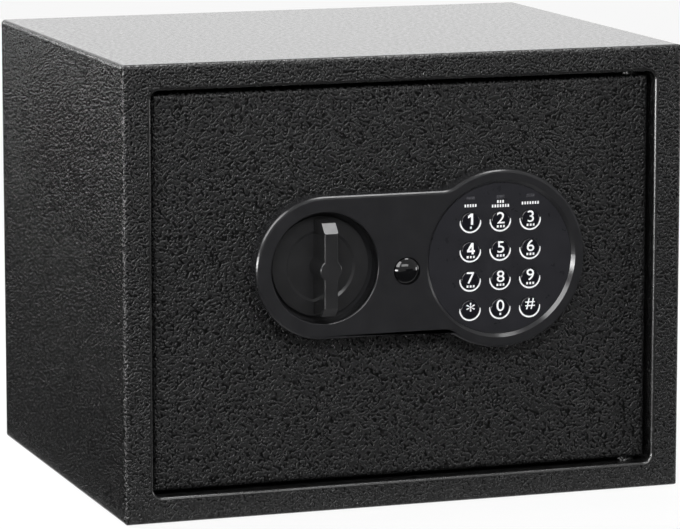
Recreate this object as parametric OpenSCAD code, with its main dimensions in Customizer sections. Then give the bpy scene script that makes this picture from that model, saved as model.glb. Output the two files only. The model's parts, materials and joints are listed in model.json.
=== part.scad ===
// Small electronic safe with a keypad, a turn knob and an override lock.
// Millimetres. The origin is the middle of the underside, +X the viewer's right, -Y the front, +Z up.

/* [Case] */
// Width of the case
case_w = 350; // [330:1:420]
// Depth of the case
case_d = 275; // [240:1:340]
// Height of the case
case_h = 270; // [262:1:330]
// Sheet thickness of the case
case_wall = 2; // [1.5:0.1:2.5]
// Outer radius of the bends in the case's sheet
bend_r = 2.6; // [2.6:0.1:4]
// Width of the front frame at the sides of the door
frame_w = 17.5; // [16:0.5:20]
// Width of the front frame above and below the door
rail_w = 15.5; // [15:0.5:20]
// Corner radius of the door opening
opening_r = 5; // [3:0.5:8]
// Radius of the opening's front edge
edge_r = 0.8; // [0.8:0.1:1.9]
// How far the jamb runs back from the front frame
jamb_depth = 18; // [17:0.5:20]
// Depth of the back panel's welded lip
back_lip = 12; // [8:1:16]
// Distance between the two anchor holes in the floor, and in the back
anchor_spacing = 200; // [120:5:240]
// Radius of an anchor hole
anchor_r = 5; // [4:0.5:7]
// Thickness of the felt floor mat
mat_t = 2.5; // [1.5:0.5:4]

/* [Door] */
// Gap at each side of the door
door_gap = 2; // [1.8:0.1:3.4]
// Gap above and below the door
head_gap = 2.2; // [1.8:0.1:3.4]
// How far the door's face lies behind the case's front
door_recess = 6; // [5.5:0.1:6.5]
// Depth of the door pan
door_depth = 34; // [34:0.5:38]
// Sheet thickness of the door
door_sheet = 3; // [2:0.1:3.2]
// Radius of the door's corners and bends
door_r = 3.2; // [3.2:0.1:4]
// Distance of the hinge axis from the door's right edge
hinge_inset = 10; // [9.5:0.1:11]
// Distance of the hinge axis behind the door's face
hinge_back = 7; // [6.6:0.1:7.4]
// Radius of the hinge pins
pin_r = 4; // [3:0.1:4.2]
// Running clearance of a pin or shaft, on the radius
run_clear = 0.05; // [0.03:0.01:0.08]
// Sheet thickness of the door's back cover
cover_t = 1.2; // [1:0.1:1.6]

/* [Faceplate] */
// Height of the knob and keypad above the middle of the door
lock_rise = 12; // [8:1:16]
// Distance of the knob's axis left of the door's middle
knob_left = 54; // [53:0.5:57]
// Distance of the keypad's axis right of the door's middle
pad_right = 56.5; // [55:0.5:60]
// How far the faceplate stands out from the door
plate_depth = 12.5; // [12:0.1:14]
// Wall thickness of the faceplate
plate_wall = 2.5; // [2:0.1:2.8]
// Radius of the faceplate's outer front edge
plate_edge = 2; // [1:0.1:2.5]
// Radius of the faceplate's end round the knob
knob_lobe_r = 42.5; // [40.5:0.5:44]
// Width of the faceplate's rim round the keypad's panel
pad_rim = 8.3; // [7.1:0.1:9]
// Radius of the hollow curve between the two ends
waist_r = 14; // [10:1:18]
// Radius of a faceplate screw
plate_screw_r = 1.4; // [1:0.1:1.6]

/* [Knob] */
// Radius of the well that the knob sits in
well_r = 33; // [32.5:0.5:34]
// Radius of the knob's disc
knob_r = 30; // [29:0.5:31]
// How far the knob's disc lies behind the faceplate's front
knob_sink = 8.5; // [8:0.1:9]
// Thickness of the well's floor
floor_t = 1.2; // [1:0.1:1.4]
// Radius of the shallow dish in the disc
dish_r = 21.5; // [18:0.5:24]
// Depth of the dish
dish_depth = 0.8; // [0.4:0.1:1]
// Width of the grip
grip_w = 8.5; // [7:0.5:10]
// Length of the grip's front face
grip_len = 44; // [40:1:46]
// Height of the grip above the disc
grip_rise = 20; // [17:0.5:22]
// Radius of the round hub in the middle of the grip
hub_r = 6.8; // [6.6:0.1:8]
// Radius of the spindle
spindle_r = 5; // [4.8:0.1:5.2]

/* [Keypad] */
// How far the keypad's panel reaches past its corner keys
pad_margin = 4.2; // [4:0.1:5]
// How far the panel lies behind the faceplate's front
pad_sink = 2; // [1.5:0.1:2.4]
// Width of the bevel round the panel
pad_bevel = 2; // [1:0.1:2.4]
// Thickness of the panel
panel_t = 2; // [1.6:0.1:2.2]
// Radius of a key
key_r = 5.6; // [5:0.1:6]
// Distance between the columns of keys
key_pitch_x = 19; // [17:0.5:20]
// Distance between the rows of keys
key_pitch_y = 17.6; // [16:0.1:18.4]
// How far the middle of the keys lies below the middle of the panel
key_drop = 3.5; // [2:0.1:5]
// How far a key travels
key_travel = 1; // [0.6:0.1:1]
// How far a key's rim stands out from the panel
key_proud = 0.7; // [0.6:0.1:1.2]
// Height of the status windows above the upper edge of the top keys
window_gap = 8.5; // [8:0.1:9]
// Width of a status window
window_w = 5; // [4:0.5:6]

/* [Override lock] */
// Distance of the override lock left of the door's middle
over_left = 3; // [1:0.5:4]
// How far the override lock lies below the knob's height
over_drop = 4.3; // [2:0.1:4.8]
// Radius of the cap over the override lock
cap_r = 7.6; // [7:0.1:7.8]
// How far the cap's dome stands out from the faceplate
cap_rise = 3.4; // [2.5:0.1:5]
// Radius of the lock's barrel
barrel_r = 6.5; // [6:0.1:6.8]
// Radius of the lock's plug
plug_r = 4.6; // [4:0.1:4.8]

/* [Bolt work] */
// Radius of a locking bolt
bolt_r = 8; // [7:0.5:8]
// Distance between the two bolts
bolt_spread = 100; // [98:1:110]
// How far the knob throws the bolts
bolt_throw = 15; // [12:0.5:15]
// Length of a bolt
bolt_len = 48; // [46:1:52]
// Thickness of the bolt carriage's sheet
carriage_t = 3; // [2.5:0.1:3]
// Radius of the cam's pin
cam_pin_r = 3; // [2.5:0.1:3]
// Radius of the studs that guide the carriage
stud_r = 3; // [2.5:0.1:3.2]

/* [Solenoid] */
// Radius of the solenoid's plunger
plunger_r = 4; // [3.5:0.1:4]
// How far the plunger drops to block the carriage
plunger_travel = 4.5; // [3.5:0.1:4.5]
// Radius of the solenoid's coil
coil_r = 10; // [8:0.5:10]
// Length of the solenoid's coil
coil_len = 24; // [20:1:30]
// Turns in the plunger's spring
spring_turns = 6; // [4:1:8]
// Radius of the spring's wire
spring_wire_r = 0.45; // [0.3:0.05:0.5]

/* [Electronics] */
// Radius of an AA battery cell
cell_r = 7.1; // [7:0.05:7.2]
// Length of an AA battery cell, with its button
cell_len = 50.3; // [50:0.1:50.5]
// Distance of the battery tray's middle from the door's right edge
tray_in = 48.5; // [48:0.5:50]
// Distance of the battery tray's middle below the lock's height
tray_drop = 62; // [58:1:70]
// Width of the control board
board_w = 58; // [50:1:60]
// Height of the control board
board_h = 46; // [40:1:50]
// Gap between the control board and the battery tray
board_gap = 12.5; // [12:0.5:14]
// Travel of the reset button
reset_travel = 2; // [1:0.1:2]

/* [Hidden] */
$fn = 96;

// The case and its opening
front = -case_d / 2;
mid_z = case_h / 2;
in_w = case_w - 2 * case_wall;
in_h = case_h - 2 * case_wall;
open_w = case_w - 2 * frame_w;
open_h = case_h - 2 * rail_w;
jamb_rear = front + case_wall + jamb_depth;

// The door
door_w = open_w - 2 * door_gap;
door_h = open_h - 2 * head_gap;
door_front = front + door_recess;
door_right = door_w / 2;
hinge_x = door_right - hinge_inset;
hinge_y = door_front + hinge_back;
door_in = -door_sheet;
door_rear = -door_depth;
lock_z = mid_z + lock_rise;
door_mid = -lock_rise;
shoulder_r = pin_r + 1.5;
shoulder_gap = 0.1;
bracket_t = 4;
bracket_half = 14;
tab_w = 12;
tab_t = 2;
tab_h = 14;
screw_r = 1.5;
screw_clear = 0.15;
screw_head_r = 3.2;
screw_head_h = 1.5;
screw_bite = 4;
small_head_r = 2.6;
small_head_h = 1.1;
tab_in = 5.5;

// The keypad's panel reaches past its corner keys, and the faceplate's end goes round it
corner_key = [key_pitch_x, key_drop + 1.5 * key_pitch_y];
pad_r = norm(corner_key) + key_r + pad_margin;
pad_lobe_r = pad_r + pad_rim;
window_rise = 1.5 * key_pitch_y - key_drop + key_r + window_gap;

// The faceplate: the middle of the upper hollow curve, and where it meets the keypad's end
waist_y = knob_lobe_r + waist_r;
waist_x = pad_right - sqrt(pow(pad_lobe_r + waist_r, 2) - pow(waist_y, 2));
waist_angle = atan2(waist_y, waist_x - pad_right);
ledge_r = pad_r - 1.8;
ledge_t = 3;
arc_step = 3;
bay_r = pad_lobe_r - plate_wall;
panel_z = plate_depth - pad_sink;
ledge_z = panel_z - panel_t;
board_z = ledge_z - ledge_t;
keypad_board_t = 1.6;
keypad_board_r = pad_r - 0.4;
boss_r = 3.6;
boss_reach = keypad_board_r + boss_r + 0.3;
boss_left = 14;
boss_up = 33;
boss_angle = 38;
boss_points = [
  for (s = [-1, 1]) [-boss_left, s * boss_up],
  for (s = [-1, 1]) [pad_right + boss_reach * cos(boss_angle), s * boss_reach * sin(boss_angle)]
];
cable_hole_r = 6;

// The keys
key_flange_t = 0.8;
key_flange_gap = 0.1;
key_clear = 0.25;
key_low = ledge_z - key_flange_gap - key_flange_t;
mat_z = key_low - key_travel - 0.1;
window_h = 1.8;

// The knob's spindle and the cam on it
disc_front = plate_depth - knob_sink;
knob_gap = 0.3;
spindle_top = disc_front + 12;
grip_top = disc_front + grip_rise;
grip_slope = 5.6;
bush_r = 7;
bush_flange_r = 9;
carriage_gap = 1.5;
carriage_z = door_in - carriage_gap;
carriage_back = carriage_z - carriage_t;
cam_gap = 0.2;
cam_t = 3;
cam_z = carriage_back - cam_gap;
cam_back = cam_z - cam_t;
cam_throw_r = bolt_throw / sqrt(2);
cam_hub_r = 9;
square_w = 7;
thread_r = 3;
cam_nut_w = 10;
cam_nut_h = 4;
yoke_clear = 0.45;

// The bolts and the carriage
bolt_z = -(jamb_rear + bolt_r + 1 - door_front);
bolt_set_back = 2.5;
bolt_tip = -door_right + bolt_set_back;
bolt_screw_r = 4;
bolt_head_w = 13;
bolt_head_h = 4;
bolt_bore = 14;
tab_x = bolt_tip + bolt_len;
tall_w = bolt_throw + 18;
tall_h = bolt_spread + 24;
slot_clear = 0.3;
catch_wall_gap = 0.5;
plunger_x = -24;
plunger_z = -15.5;
carriage_right = plunger_x + 11;
carriage_low = -23;
flange_y = 20;
flange_top = flange_y + carriage_t;
flange_back = -19;
tip_gap = 0.2;
plunger_tip = flange_top + plunger_travel + tip_gap;
collar_y = flange_top + 2 * plunger_travel + 0.6;
collar_t = 1.5;
collar_r = 8;
spring_len = 12;
frame_y = collar_y + collar_t + spring_len;
frame_t = 2;
stud_cap_r = 5.6;
stud_cap_t = 1.8;
stud_in = carriage_t + stud_cap_r + 1.4;
stud_high = 37;
stud_low = 13;
inner_stud = [-38, -14];
studs = [
  [tab_x + stud_in, door_mid + stud_high], [tab_x + stud_in, door_mid - stud_low], inner_stud
];

// The override lock
over_x = -over_left;
over_y = -over_drop;
cap_clear = 0.7;
cap_depth = 4;
cap_seat = plate_depth - cap_depth;
barrel_flange_t = 1.2;
barrel_back = -19.2;
plug_front = cap_seat + barrel_flange_t;
plug_back = barrel_back - 0.3;
nut_w = 17;
nut_t = 3.5;
arm_hub_r = 6.5;
arm_square = 5;
arm_screw_r = 1.2;
arm_t = 2.4;
arm_tip_r = 3.5;
arm_end = [plunger_x + 5.5, collar_y - 0.3 - arm_tip_r];
arm_len = norm(arm_end - [over_x, over_y]);
arm_angle = atan2(arm_end[1] - over_y, arm_end[0] - over_x) + 90;

// The electronics inside the door
tray_right = door_right - tray_in;
tray_y = -tray_drop;
cell_pitch = 2 * cell_r + 0.5;
tray_wall = 1.8;
tray_hollow_w = cell_len + 3;
tray_hollow_h = 4 * cell_pitch + 0.6;
tray_w = tray_hollow_w + 2 * tray_wall;
tray_h = tray_hollow_h + 2 * tray_wall;
control_z = -13;
control_t = 1.6;
board_right = tray_right - tray_w / 2 - board_gap - board_w / 2;
board_y = -62;
socket_y = board_y + board_h / 2 - 4;
wire_z = control_z - control_t - 3;
spacer_r = 2.8;
spacer_in = 4;
tray_floor = door_rear + 2 * cell_r + 1.4;
tray_flange = 4;
tray_flange_t = 1;
cover_back = door_rear - cover_t;
reset_x = board_right - 18;
reset_y = board_y - 10;
reset_r = 4;
switch_z = control_z - control_t - 3.6;
lead_r = 0.9;

// Shapes in a plane

module rounded_rect(w, h, r) {
  square([w - 2 * r, h], center = true);
  square([w, h - 2 * r], center = true);
  for (x = [-1, 1], y = [-1, 1]) translate([x * (w / 2 - r), y * (h / 2 - r)]) circle(r);
}

// A rectangle whose two front corners are round: the front is at y = 0, the back at y = d
module front_round(w, d, r) {
  translate([-w / 2, r]) square([w, d - r]);
  translate([-w / 2 + r, 0]) square([w - 2 * r, d]);
  for (x = [-1, 1]) translate([x * (w / 2 - r), r]) circle(r);
}

// A level slot between two places along X
module slot_x(x0, x1, y, r) {
  translate([x0, y - r]) square([x1 - x0, 2 * r]);
  translate([x0, y]) circle(r);
  translate([x1, y]) circle(r);
}

// Bodies

// An outline in X and Z, drawn from y0 back to y1
module along_y(y0, y1) {
  translate([0, y1, 0]) rotate([90, 0, 0]) linear_extrude(y1 - y0) children();
}

// A box on z = 0 whose side edges and front edges are bends of radius r
module bent_box(w, d, h, r) {
  intersection() {
    translate([0, 0, h / 2]) along_y(0, d) rounded_rect(w, h, r);
    linear_extrude(h) front_round(w, d, r);
    translate([-w / 2, 0, h / 2]) rotate([90, 0, 90]) linear_extrude(w)
      rotate([0, 0, -90]) front_round(h, d, r);
  }
}

// Places what is drawn on the door's face: X right, Y up, Z out of the door
module on_door() {
  translate([0, door_front, lock_z]) rotate([90, 0, 0]) children();
}

// A round rod square to the door's face, between two heights
module rod(x, y, z0, z1, r) {
  translate([x, y, z0]) cylinder(h = z1 - z0, r = r);
}

// A plate parallel to the door's face, between two heights
module plate(z0, z1) {
  translate([0, 0, z0]) linear_extrude(z1 - z0) children();
}

// A hexagon's prism with the given distance across its flats
module hex(across, h) {
  cylinder(h = h, r = across / sqrt(3), $fn = 6);
}

// A lead swept along a line of points: eight-sided rings square to the run
function unit(v) = v / norm(v);
function lead_ring(before, after, place, r) =
  let (
    along = unit(unit(after - place) + unit(place - before)),
    side = unit(cross(along, abs(along[0]) > 0.9 ? [0, 1, 0] : [1, 0, 0])),
    up = cross(along, side)
  )
  [for (k = [0:7]) place + r * (cos(45 * k) * side + sin(45 * k) * up)];
module lead(points, r) {
  last = len(points) - 1;
  before = concat([2 * points[0] - points[1]], [for (i = [0:last - 1]) points[i]]);
  after = concat([for (i = [1:last]) points[i]], [2 * points[last] - points[last - 1]]);
  polyhedron(
    points = [for (i = [0:last]) each lead_ring(before[i], after[i], points[i], r)],
    faces = concat(
      [[for (k = [7:-1:0]) k], [for (k = [0:7]) 8 * last + k]],
      [for (i = [0:last - 1], k = [0:7], half = [0, 1])
        let (a = 8 * i + k, b = 8 * i + (k + 1) % 8)
        half == 0 ? [a, b, a + 8] : [b, b + 8, a + 8]]
    )
  );
}

// The case

// A round bar that follows the door opening, half in and half behind its front edge
module opening_bar(r) {
  x = open_w / 2 - opening_r;
  z = open_h / 2 - opening_r;
  for (s = [-1, 1]) {
    translate([s * (open_w / 2 + r), 0, -z]) cylinder(h = 2 * z, r = r);
    translate([-x, 0, s * (open_h / 2 + r)]) rotate([0, 90, 0]) cylinder(h = 2 * x, r = r);
  }
  for (corner = [[x, z, 0], [-x, z, 90], [-x, -z, 180], [x, -z, 270]])
    translate([corner[0], 0, corner[1]]) rotate([90, 0, 0]) rotate([0, 0, corner[2]])
      rotate_extrude(angle = 90) translate([opening_r + r, 0]) circle(r);
}

// What the bend at the opening's front edge takes off the front frame
module opening_flare(r) {
  difference() {
    along_y(front - 1, front + r) rounded_rect(open_w + 2 * r, open_h + 2 * r, opening_r + r);
    translate([0, front + r, 0]) opening_bar(r);
  }
}

module case_wrap() {
  color([0.13, 0.13, 0.14]) difference() {
    translate([0, front, 0]) bent_box(case_w, case_d, case_h, bend_r);
    translate([-in_w / 2, front + case_wall, case_wall]) cube([in_w, case_d, in_h]);
    translate([0, 0, mid_z]) {
      along_y(front - 1, front + case_wall + 1) rounded_rect(open_w, open_h, opening_r);
      opening_flare(edge_r);
    }
    for (s = [-1, 1]) translate([s * anchor_spacing / 2, 0, -1]) cylinder(h = case_wall + 2, r = anchor_r);
  }
}

module back_panel() {
  color([0.13, 0.13, 0.14]) translate([0, 0, mid_z]) difference() {
    along_y(-front - back_lip, -front) square([in_w, in_h], center = true);
    along_y(-front - back_lip - 1, -front - case_wall)
      square([in_w - 2 * case_wall, in_h - 2 * case_wall], center = true);
    along_y(-front - case_wall - 1, -front + 1)
      for (s = [-1, 1]) translate([s * anchor_spacing / 2, 0]) circle(anchor_r);
  }
}

// The jamb: a ring of angle section welded behind the case's front frame
module door_frame() {
  color([0.13, 0.13, 0.14]) difference() {
    translate([0, 0, mid_z]) difference() {
      union() {
        along_y(front + case_wall, front + 2 * case_wall) square([in_w, in_h], center = true);
        along_y(front + case_wall, jamb_rear)
          rounded_rect(open_w + 2 * case_wall, open_h + 2 * case_wall, opening_r + case_wall);
      }
      along_y(front, jamb_rear + 1) rounded_rect(open_w, open_h, opening_r);
    }
    translate([hinge_x, hinge_y, rail_w / 2]) cylinder(h = case_h - rail_w, r = pin_r + 0.6);
  }
}

// A welded angle with the hinge pin's bore, drawn above the opening
module hinge_bracket() {
  seat = rail_w - case_wall;
  color([0.35, 0.35, 0.36]) difference() {
    union() {
      translate([hinge_x - bracket_half, front + 2 * case_wall, case_h - seat])
        cube([2 * bracket_half, jamb_rear - front - 2 * case_wall, bracket_t]);
      translate([hinge_x - bracket_half, front + 2 * case_wall, case_h - seat])
        cube([2 * bracket_half, case_wall, seat - case_wall]);
    }
    translate([hinge_x, hinge_y, case_h - seat - 1]) cylinder(h = bracket_t + 2, r = pin_r + run_clear);
  }
}

module upper_hinge_bracket() {
  hinge_bracket();
}

module lower_hinge_bracket() {
  translate([0, 0, case_h]) mirror([0, 0, 1]) hinge_bracket();
}

module floor_mat() {
  edge = 1;
  color([0.2, 0.2, 0.21]) difference() {
    translate([0, 0, case_wall]) linear_extrude(mat_t)
      translate([-in_w / 2 + edge, jamb_rear + edge])
        square([in_w - 2 * edge, -front - back_lip - jamb_rear - 2 * edge]);
    for (s = [-1, 1])
      translate([s * anchor_spacing / 2, 0, 0]) cylinder(h = case_wall + mat_t + 1, r = anchor_r + 4);
  }
}

// The door

module screw_tab_places() {
  for (x = [-1, 1], y = [-1, 0, 1])
    translate([x * (door_right - door_sheet - tab_in), door_mid + y * (door_h / 2 - door_sheet - tab_h / 2)])
      children();
}

module door_panel() {
  color([0.13, 0.13, 0.14]) difference() {
    union() {
      difference() {
        translate([0, door_front, mid_z - door_h / 2]) bent_box(door_w, door_depth, door_h, door_r);
        on_door() plate(door_rear - 1, door_in) translate([0, door_mid])
          square([door_w - 2 * door_sheet, door_h - 2 * door_sheet], center = true);
      }
      on_door() plate(door_rear, door_rear + tab_t) screw_tab_places()
        square([tab_w, tab_h], center = true);
    }
    on_door() {
      rod(-knob_left, 0, door_in - 1, 1, bush_r + run_clear);
      rod(over_x, over_y, door_in - 1, 1, barrel_r + screw_clear);
      rod(pad_right, 0, door_in - 1, 1, cable_hole_r);
      for (p = boss_points) rod(p[0], p[1], door_in - 1, 1, plate_screw_r + screw_clear);
      plate(door_rear - 1, door_rear + tab_t + 1) screw_tab_places() circle(screw_r + screw_clear);
    }
    for (s = [-1, 1])
      translate([-door_right - 1, door_front - bolt_z, mid_z + s * bolt_spread / 2])
        rotate([0, 90, 0]) cylinder(h = door_sheet + 2, r = bolt_r + run_clear);
    translate([hinge_x, hinge_y, mid_z - door_h / 2 - 1]) cylinder(h = door_h + 2, r = pin_r + run_clear);
  }
}

// A shouldered pin welded in the door's edge, drawn at the top of the door
module hinge_pin() {
  edge_z = mid_z + door_h / 2;
  weld_len = 10;
  reach = head_gap + case_wall + bracket_t + 1.5;
  color([0.62, 0.62, 0.63]) translate([hinge_x, hinge_y, edge_z]) {
    translate([0, 0, -door_sheet - weld_len]) cylinder(h = weld_len, r = pin_r - 0.6);
    translate([0, 0, -door_sheet]) cylinder(h = door_sheet + reach, r = pin_r);
    cylinder(h = head_gap - shoulder_gap, r = shoulder_r);
  }
}

module upper_hinge_pin() {
  hinge_pin();
}

module lower_hinge_pin() {
  translate([0, 0, case_h]) mirror([0, 0, 1]) hinge_pin();
}

module door_back_cover() {
  margin = 2;
  color([0.15, 0.15, 0.16]) on_door() plate(cover_back, door_rear) difference() {
    translate([0, door_mid]) rounded_rect(door_w - 2 * margin, door_h - 2 * margin, 3);
    translate([tray_right, tray_y]) square([tray_w + 0.6, tray_h + 0.6], center = true);
    translate([reset_x, reset_y]) circle(reset_r + 0.3);
    screw_tab_places() circle(screw_r + screw_clear);
  }
}

module pan_screw(r, length, head_r, head_h) {
  translate([0, 0, -0.01]) cylinder(h = length + 0.01, r = r);
  difference() {
    translate([0, 0, -head_h]) cylinder(h = head_h, r = head_r);
    for (a = [0, 90]) rotate([0, 0, a]) translate([-head_r * 0.6, -0.4, -head_h - 1])
      cube([head_r * 1.2, 0.8, head_h / 2 + 1]);
  }
}

module cover_screws() {
  color([0.6, 0.6, 0.62]) on_door() screw_tab_places()
    translate([0, 0, cover_back])
      pan_screw(screw_r, cover_t + tab_t + screw_bite, screw_head_r, screw_head_h);
}

// The faceplate

// The outline's arcs in turn: middle, radius, first and last angle, and 1 where the arc bulges out
plate_arcs = [
  [[pad_right, 0], pad_lobe_r, -waist_angle, waist_angle, 1],
  [[waist_x, waist_y], waist_r, waist_angle - 180, -90, -1],
  [[-knob_left, 0], knob_lobe_r, 90, 270, 1],
  [[waist_x, -waist_y], waist_r, 90, 180 - waist_angle, -1]
];
function arc_steps(arc) = ceil(abs(arc[3] - arc[2]) / arc_step);

// The outline drawn in by a distance
function plate_outline(inset) = [
  for (arc = plate_arcs, i = [0:arc_steps(arc)])
    let (a = arc[2] + (arc[3] - arc[2]) * i / arc_steps(arc))
    arc[0] + (arc[1] - arc[4] * inset) * [cos(a), sin(a)]
];

// The outer body: the outline's walls, and a round edge drawn in along a quarter circle
module plate_body() {
  levels = [
    [0, 0], for (t = [0:30:90]) [plate_edge * (1 - cos(t)), plate_depth - plate_edge * (1 - sin(t))]
  ];
  n = len(plate_outline(0));
  top = len(levels) - 1;
  polyhedron(
    points = [for (level = levels, p = plate_outline(level[0])) [p[0], p[1], level[1]]],
    faces = concat(
      [[for (i = [0:n - 1]) i]],
      [[for (i = [n - 1:-1:0]) top * n + i]],
      [for (level = [0:top - 1], i = [0:n - 1], half = [0, 1])
        let (a = level * n + i, b = level * n + (i + 1) % n)
        half == 0 ? [a, a + n, b] : [b, a + n, b + n]]
    ),
    convexity = 10
  );
}

// The space inside the faceplate, seen from behind
module plate_hollow() {
  difference() {
    union() {
      translate([-knob_left, 0]) circle(knob_lobe_r - plate_wall);
      translate([-knob_left, -knob_lobe_r + plate_wall])
        square([waist_x + knob_left, 2 * (knob_lobe_r - plate_wall)]);
      translate([pad_right, 0]) circle(bay_r);
    }
    translate([-knob_left, 0]) circle(well_r + plate_wall);
    translate([over_x, over_y]) circle(cap_r + cap_clear + plate_wall);
    for (p = boss_points) translate(p) circle(boss_r);
  }
}

module lock_faceplate() {
  rim = 0.8;
  color([0.15, 0.15, 0.16]) on_door() difference() {
    plate_body();
    plate(-1, board_z) plate_hollow();
    plate(board_z - 0.01, plate_depth - plate_wall) difference() {
      plate_hollow();
      translate([pad_right, 0]) circle(pad_lobe_r);
    }
    // the knob's well, with a round rim
    rod(-knob_left, 0, floor_t, plate_depth + 1, well_r);
    translate([-knob_left, 0]) rotate_extrude() difference() {
      translate([well_r - 1, plate_depth - rim]) square([rim + 1, rim + 1]);
      translate([well_r + rim, plate_depth - rim]) circle(rim);
    }
    rod(-knob_left, 0, -1, floor_t + 1, bush_flange_r + 0.5);
    // the keypad's bay, with a bevel down to the panel
    rod(pad_right, 0, board_z - 1, plate_depth + 1, ledge_r);
    rod(pad_right, 0, ledge_z, plate_depth + 1, pad_r + 0.2);
    translate([pad_right, 0]) rotate_extrude() polygon([
      [0, panel_z], [pad_r + 0.2, panel_z], [pad_r + 0.2 + pad_bevel, plate_depth],
      [pad_r + 0.2 + pad_bevel, plate_depth + 1], [0, plate_depth + 1]
    ]);
    // the override lock's hole, and the cap's seat
    rod(over_x, over_y, -1, plate_depth + 1, barrel_r + screw_clear);
    rod(over_x, over_y, cap_seat, plate_depth + 1, cap_r + cap_clear);
    for (p = boss_points) rod(p[0], p[1], -1, plate_depth - plate_wall - 1.5, plate_screw_r + 0.1);
  }
}

module faceplate_screws() {
  color([0.6, 0.6, 0.62]) on_door() for (p = boss_points)
    translate([p[0], p[1], door_in])
      pan_screw(plate_screw_r, door_sheet + screw_bite + 2, small_head_r, small_head_h);
}

// The keypad

function key_place(i) = [
  pad_right + (i % 3 - 1) * key_pitch_x,
  -key_drop + (1.5 - floor(i / 3)) * key_pitch_y
];

module window_places() {
  for (i = [-1, 0, 1]) translate([pad_right + i * key_pitch_x, window_rise]) children();
}

module keypad_panel() {
  color([0.17, 0.17, 0.19]) on_door() plate(ledge_z, panel_z) difference() {
    translate([pad_right, 0]) circle(pad_r);
    for (i = [0:11]) translate(key_place(i)) circle(key_r + key_clear);
    window_places() square([window_w + 0.2, window_h + 0.2], center = true);
  }
}

module status_windows() {
  color([0.45, 0.45, 0.47]) on_door() {
    plate(ledge_z, panel_z) window_places() square([window_w, window_h], center = true);
    plate(ledge_z - 0.8, ledge_z) intersection() {
      window_places() square([window_w + 1.6, window_h + 1.6], center = true);
      translate([pad_right, 0]) circle(ledge_r - 0.2);
    }
  }
}

// The keypad's circuit board, with its status lamps
module keypad_board() {
  lamp_h = 2;
  color([0.1, 0.3, 0.16]) on_door() {
    plate(board_z - keypad_board_t, board_z) translate([pad_right, 0]) circle(keypad_board_r);
    plate(board_z - 0.01, board_z + lamp_h) window_places() square([3, 1.6], center = true);
  }
}

// The rubber mat under the keys, with a contact dome under each
module key_mat() {
  w = 2 * key_pitch_x + 2 * key_r;
  h = 3 * key_pitch_y + 2 * key_r;
  color([0.5, 0.5, 0.5]) on_door() {
    plate(board_z, board_z + 0.6) translate([pad_right, -key_drop]) rounded_rect(w, h, key_r + 3);
    for (i = [0:11]) translate(key_place(i)) rod(0, 0, board_z + 0.5, mat_z, key_r - 1.6);
  }
}

// A key: a flange behind the panel and a round cap with a crowned top
module key(i) {
  top = panel_z + key_proud;
  crown = 0.35;
  round_r = 0.6;
  flat_r = key_r - round_r;
  crown_r = (flat_r * flat_r + crown * crown) / (2 * crown);
  color([0.17, 0.17, 0.19]) on_door() translate(key_place(i)) {
    rod(0, 0, key_low, key_low + key_flange_t, key_r + 0.9);
    rod(0, 0, key_low, top - round_r, key_r);
    rotate_extrude() {
      translate([0, key_low]) square([flat_r, top - key_low]);
      translate([flat_r, top - round_r]) circle(round_r);
      intersection() {
        translate([0, top + crown - crown_r]) circle(crown_r);
        translate([0, top - 0.1]) square([flat_r, crown + 1]);
      }
    }
  }
}

// The keypad's cable, through the door's plate and down to the control board
module keypad_cable() {
  cable_r = 2.4;
  run_z = wire_z + 0.2;
  color([0.12, 0.12, 0.13]) on_door() lead([
    [pad_right, 0, board_z - keypad_board_t], [pad_right, 0, run_z + 3], [pad_right - 2, -4, run_z],
    [board_right + 3, socket_y + 14, run_z], [board_right, socket_y + 9, run_z],
    [board_right, socket_y, run_z]
  ], cable_r);
}

// The override lock

module override_cap() {
  skirt = 2.6;
  skirt_wall = 1.4;
  dome_t = 0.6;
  dome_r = (cap_r * cap_r + cap_rise * cap_rise) / (2 * cap_rise);
  color([0.05, 0.05, 0.055]) on_door() translate([over_x, over_y]) rotate_extrude() difference() {
    union() {
      translate([0, plate_depth - skirt]) square([cap_r, skirt]);
      intersection() {
        translate([0, plate_depth + cap_rise - dome_r]) circle(dome_r);
        translate([0, plate_depth - 0.1]) square([cap_r, cap_rise + 1]);
      }
    }
    translate([0, plate_depth - skirt - 1]) square([cap_r - skirt_wall, skirt + 1 - dome_t]);
  }
}

module override_barrel() {
  color([0.7, 0.7, 0.72]) on_door() translate([over_x, over_y]) difference() {
    union() {
      rod(0, 0, barrel_back, cap_seat + 0.01, barrel_r);
      rod(0, 0, cap_seat, cap_seat + barrel_flange_t, cap_r);
    }
    rod(0, 0, barrel_back - 1, plate_depth, plug_r + run_clear);
  }
}

module override_plug() {
  keyway = [1.6, 6.4];
  keyway_depth = 9;
  color([0.75, 0.7, 0.55]) on_door() translate([over_x, over_y]) difference() {
    union() {
      rod(0, 0, plug_back, plug_front, plug_r);
      plate(plug_back - arm_t, plug_back + 0.01) rotate([0, 0, arm_angle])
        square(arm_square, center = true);
    }
    plate(plug_front - keyway_depth, plug_front + 1) square(keyway, center = true);
    rod(0, 0, plug_back - arm_t - 1, plug_back + 4, arm_screw_r + 0.1);
  }
}

// The flat arm that lifts the plunger when the key turns
module override_cam() {
  color([0.66, 0.66, 0.68]) on_door() translate([over_x, over_y])
    plate(plug_back - arm_t, plug_back) rotate([0, 0, arm_angle]) difference() {
      union() {
        circle(arm_hub_r);
        translate([0, -arm_tip_r]) square([arm_len, 2 * arm_tip_r]);
        translate([arm_len, 0]) circle(arm_tip_r);
      }
      square(arm_square + 0.1, center = true);
    }
}

module override_cam_screw() {
  color([0.6, 0.6, 0.62]) on_door() translate([over_x, over_y, plug_back - arm_t])
    pan_screw(arm_screw_r, 6, arm_square - 0.8, screw_head_h);
}

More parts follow.
